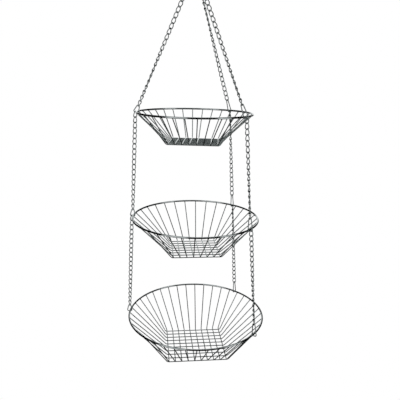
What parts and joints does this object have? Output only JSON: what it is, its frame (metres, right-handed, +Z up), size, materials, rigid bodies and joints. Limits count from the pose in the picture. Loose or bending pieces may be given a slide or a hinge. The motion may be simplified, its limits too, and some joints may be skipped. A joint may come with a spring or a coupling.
{
  "type": "hanging tiered wire fruit basket",
  "caption": "Tiered wire fruit baskets that hang one under another on link chains from a ring and a ceiling hook.",
  "frame": {"origin": "on the ceiling, on the axis of the ceiling hook's screw, level with the top face of its collar", "axes": "+Z up along the screw, -Y towards the pictured front, +X to the right of that view"},
  "size_m": [0.3101, 0.3047, 0.8917],
  "materials": {
    "rim_chrome": "polished chrome plate on heavy steel wire",
    "wire_chrome": "bright chrome plate on thin steel wire",
    "clasp_chrome": "bright chrome plate on bent steel wire",
    "chain_chrome": "bright chrome plate on chain links, slightly worn",
    "hook_chrome": "polished chrome plate"
  },
  "bodies": {
    "ceiling_hook": {"ceiling_hook": "hook_chrome"},
    "gathering_ring": {"gathering_ring": "hook_chrome"},
    "top_tier": {"upper_chain_left": "chain_chrome", "upper_chain_rear_right": "chain_chrome", "upper_chain_front_right": "chain_chrome", "top_clasp_left": "clasp_chrome", "top_clasp_rear_right": "clasp_chrome", "top_clasp_front_right": "clasp_chrome", "top_rim": "rim_chrome", "top_wires_front_to_back": "wire_chrome", "top_wires_side_to_side": "wire_chrome"},
    "middle_first_link_left": {"middle_chain_left_first_link": "chain_chrome"},
    "middle_chain_left": {"middle_chain_left": "chain_chrome"},
    "middle_last_link_left": {"middle_chain_left_last_link": "chain_chrome"},
    "middle_first_link_rear_right": {"middle_chain_rear_right_first_link": "chain_chrome"},
    "middle_chain_rear_right": {"middle_chain_rear_right": "chain_chrome"},
    "middle_last_link_rear_right": {"middle_chain_rear_right_last_link": "chain_chrome"},
    "middle_first_link_front_right": {"middle_chain_front_right_first_link": "chain_chrome"},
    "middle_chain_front_right": {"middle_chain_front_right": "chain_chrome"},
    "middle_last_link_front_right": {"middle_chain_front_right_last_link": "chain_chrome"},
    "middle_tier": {"middle_clasp_left": "clasp_chrome", "middle_clasp_rear_right": "clasp_chrome", "middle_clasp_front_right": "clasp_chrome", "middle_rim": "rim_chrome", "middle_wires_front_to_back": "wire_chrome", "middle_wires_side_to_side": "wire_chrome"},
    "lower_first_link_left": {"lower_chain_left_first_link": "chain_chrome"},
    "lower_chain_left": {"lower_chain_left": "chain_chrome"},
    "lower_last_link_left": {"lower_chain_left_last_link": "chain_chrome"},
    "lower_first_link_rear_right": {"lower_chain_rear_right_first_link": "chain_chrome"},
    "lower_chain_rear_right": {"lower_chain_rear_right": "chain_chrome"},
    "lower_last_link_rear_right": {"lower_chain_rear_right_last_link": "chain_chrome"},
    "lower_first_link_front_right": {"lower_chain_front_right_first_link": "chain_chrome"},
    "lower_chain_front_right": {"lower_chain_front_right": "chain_chrome"},
    "lower_last_link_front_right": {"lower_chain_front_right_last_link": "chain_chrome"},
    "bottom_tier": {"bottom_clasp_left": "clasp_chrome", "bottom_clasp_rear_right": "clasp_chrome", "bottom_clasp_front_right": "clasp_chrome", "bottom_rim": "rim_chrome", "bottom_wires_front_to_back": "wire_chrome", "bottom_wires_side_to_side": "wire_chrome"}
  },
  "joints": [
    {"name": "ring_swing_fore_aft", "type": "hinge", "parent": "ceiling_hook", "child": "gathering_ring", "pos_m": [0, 0, -0.03519], "axis": [1, 0, 0], "range_deg": [-15, 15]},
    {"name": "top_tier_side_sway", "type": "hinge", "parent": "gathering_ring", "child": "top_tier", "pos_m": [0, 0, -0.05955], "axis": [0, 1, 0], "range_deg": [-8, 8]},
    {"name": "middle_fore_aft_left", "type": "hinge", "parent": "top_tier", "child": "middle_first_link_left", "pos_m": [-0.12436, 0.00902, -0.32878], "axis": [1, 0, 0], "range_deg": [-7.5, 7.5]},
    {"name": "middle_side_sway_left", "type": "hinge", "parent": "middle_first_link_left", "child": "middle_chain_left", "pos_m": [-0.12499, 0.00907, -0.33847], "axis": [0, 1, 0], "range_deg": [-7.5, 7.5]},
    {"name": "middle_last_link_left", "type": "hinge", "parent": "middle_chain_left", "child": "middle_last_link_left", "pos_m": [-0.13712, 0.01014, -0.52616], "axis": [0, 1, 0], "range_deg": [-7.5, 7.5]},
    {"name": "middle_fore_aft_rear_right", "type": "hinge", "parent": "top_tier", "child": "middle_first_link_rear_right", "pos_m": [0.07769, 0.09069, -0.3335], "axis": [1, 0, 0], "range_deg": [-8, 8]},
    {"name": "middle_side_sway_rear_right", "type": "hinge", "parent": "middle_first_link_rear_right", "child": "middle_chain_rear_right", "pos_m": [0.0781, 0.09116, -0.34317], "axis": [0, 1, 0], "range_deg": [-8, 8]},
    {"name": "middle_last_link_rear_right", "type": "hinge", "parent": "middle_chain_rear_right", "child": "middle_last_link_rear_right", "pos_m": [0.08564, 0.09984, -0.51943], "axis": [0, 1, 0], "range_deg": [-8, 8]},
    {"name": "middle_fore_aft_front_right", "type": "hinge", "parent": "top_tier", "child": "middle_first_link_front_right", "pos_m": [0.09447, -0.07611, -0.33386], "axis": [1, 0, 0], "range_deg": [-8, 8]},
    {"name": "middle_side_sway_front_right", "type": "hinge", "parent": "middle_first_link_front_right", "child": "middle_chain_front_right", "pos_m": [0.09497, -0.07649, -0.34354], "axis": [0, 1, 0], "range_deg": [-8, 8]},
    {"name": "middle_last_link_front_right", "type": "hinge", "parent": "middle_chain_front_right", "child": "middle_last_link_front_right", "pos_m": [0.10409, -0.08349, -0.51986], "axis": [0, 1, 0], "range_deg": [-8, 8]},
    {"name": "middle_tier_hang", "type": "hinge", "parent": "middle_last_link_left", "child": "middle_tier", "pos_m": [-0.13772, 0.01019, -0.53555], "axis": [1, 0, 0], "range_deg": [-7.5, 7.5]},
    {"name": "lower_fore_aft_left", "type": "hinge", "parent": "middle_tier", "child": "lower_first_link_left", "pos_m": [-0.14037, 0.01042, -0.55143], "axis": [1, 0, 0], "range_deg": [-7.5, 7.5]},
    {"name": "lower_side_sway_left", "type": "hinge", "parent": "lower_first_link_left", "child": "lower_chain_left", "pos_m": [-0.14097, 0.01047, -0.56098], "axis": [0, 1, 0], "range_deg": [-7.5, 7.5]},
    {"name": "lower_last_link_left", "type": "hinge", "parent": "lower_chain_left", "child": "lower_last_link_left", "pos_m": [-0.1531, 0.01154, -0.75492], "axis": [0, 1, 0], "range_deg": [-7.5, 7.5]},
    {"name": "lower_fore_aft_rear_right", "type": "hinge", "parent": "middle_tier", "child": "lower_first_link_rear_right", "pos_m": [0.08821, 0.1028, -0.55666], "axis": [1, 0, 0], "range_deg": [-8, 8]},
    {"name": "lower_side_sway_rear_right", "type": "hinge", "parent": "lower_first_link_rear_right", "child": "lower_chain_rear_right", "pos_m": [0.08861, 0.10325, -0.5662], "axis": [0, 1, 0], "range_deg": [-8, 8]},
    {"name": "lower_last_link_rear_right", "type": "hinge", "parent": "lower_chain_rear_right", "child": "lower_last_link_rear_right", "pos_m": [0.09618, 0.11196, -0.74882], "axis": [0, 1, 0], "range_deg": [-8, 8]},
    {"name": "lower_fore_aft_front_right", "type": "hinge", "parent": "middle_tier", "child": "lower_first_link_front_right", "pos_m": [0.1072, -0.08588, -0.5571], "axis": [1, 0, 0], "range_deg": [-8, 8]},
    {"name": "lower_side_sway_front_right", "type": "hinge", "parent": "lower_first_link_front_right", "child": "lower_chain_front_right", "pos_m": [0.10768, -0.08625, -0.56664], "axis": [0, 1, 0], "range_deg": [-8, 8]},
    {"name": "lower_last_link_front_right", "type": "hinge", "parent": "lower_chain_front_right", "child": "lower_last_link_front_right", "pos_m": [0.11684, -0.09328, -0.7493], "axis": [0, 1, 0], "range_deg": [-8, 8]},
    {"name": "bottom_tier_hang", "type": "hinge", "parent": "lower_last_link_left", "child": "bottom_tier", "pos_m": [-0.15368, 0.01159, -0.76418], "axis": [1, 0, 0], "range_deg": [-7.5, 7.5]}
  ],
  "couplings": [
    {"joint": "middle_last_link_left", "follows": "middle_side_sway_left", "ratio": -0.913},
    {"joint": "middle_fore_aft_rear_right", "follows": "middle_fore_aft_left", "ratio": 1.0587},
    {"joint": "middle_side_sway_rear_right", "follows": "middle_side_sway_left", "ratio": 1.0649},
    {"joint": "middle_last_link_rear_right", "follows": "middle_side_sway_left", "ratio": -0.9778},
    {"joint": "middle_fore_aft_front_right", "follows": "middle_fore_aft_left", "ratio": 1.0583},
    {"joint": "middle_side_sway_front_right", "follows": "middle_side_sway_left", "ratio": 1.0644},
    {"joint": "middle_last_link_front_right", "follows": "middle_side_sway_left", "ratio": -0.9774},
    {"joint": "middle_tier_hang", "follows": "middle_fore_aft_left", "ratio": -0.9042},
    {"joint": "lower_last_link_left", "follows": "lower_side_sway_left", "ratio": -0.922},
    {"joint": "lower_fore_aft_rear_right", "follows": "lower_fore_aft_left", "ratio": 1.0564},
    {"joint": "lower_side_sway_rear_right", "follows": "lower_side_sway_left", "ratio": 1.062},
    {"joint": "lower_last_link_rear_right", "follows": "lower_side_sway_left", "ratio": -0.984},
    {"joint": "lower_fore_aft_front_right", "follows": "lower_fore_aft_left", "ratio": 1.0561},
    {"joint": "lower_side_sway_front_right", "follows": "lower_side_sway_left", "ratio": 1.0617},
    {"joint": "lower_last_link_front_right", "follows": "lower_side_sway_left", "ratio": -0.9837},
    {"joint": "bottom_tier_hang", "follows": "lower_fore_aft_left", "ratio": -0.9145}
  ]
}
